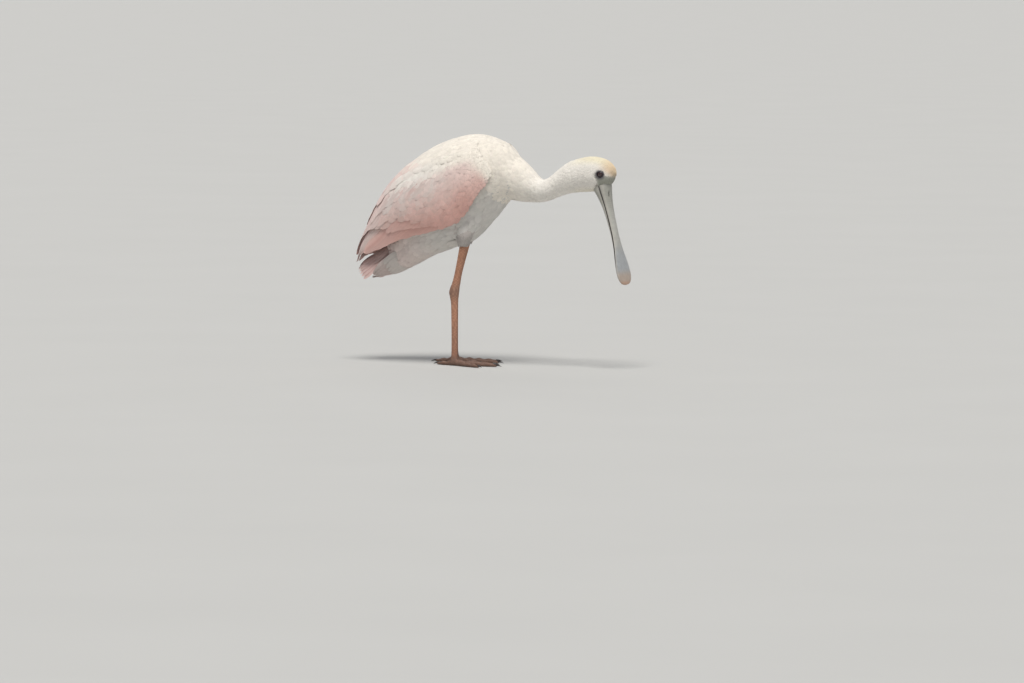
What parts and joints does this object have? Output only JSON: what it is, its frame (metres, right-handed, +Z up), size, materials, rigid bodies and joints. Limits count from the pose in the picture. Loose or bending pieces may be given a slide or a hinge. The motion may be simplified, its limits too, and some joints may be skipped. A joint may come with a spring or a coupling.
{
  "type": "roseate spoonbill",
  "caption": "Life-size still wading bird on long legs, wings folded, neck held low and forward with a long flat spoon-ended bill hanging down.",
  "frame": {"origin": "on the floor, under the middle of the bird's box", "axes": "+X the way the bird faces, +Y its left side, +Z up"},
  "size_m": [0.4942, 0.145, 0.3784],
  "materials": {
    "body_plumage": "matte cream-white body feathers",
    "neck_plumage": "matte cream-white neck feathers",
    "head_plumage": "short cream feathers, peach on the forehead",
    "wing_plumage": "pale to salmon pink flight feathers and coverts",
    "tail_plumage": "dusty pink tail feathers",
    "bill": "grey horn, satin, darker along the mouth",
    "eye": "wet dark red-brown",
    "face_skin": "bare grey skin round the eye and chin",
    "leg_skin": "scaly salmon-brown skin, dull",
    "claw": "dark horn"
  },
  "bodies": {
    "root": {"torso": "body_plumage", "neck_lower": "neck_plumage", "neck_upper": "neck_plumage", "head": "head_plumage", "eye_right": "eye", "eye_left": "eye", "bill_upper": "bill", "bill_lower": "bill", "wing_right": "wing_plumage", "wing_left": "wing_plumage", "tail": "tail_plumage", "thigh_right": "body_plumage", "thigh_left": "body_plumage", "tibia_right": "leg_skin", "tibia_left": "leg_skin", "tarsus_right": "leg_skin", "tarsus_left": "leg_skin", "foot_right": "leg_skin", "foot_left": "leg_skin"}
  },
  "joints": []
}
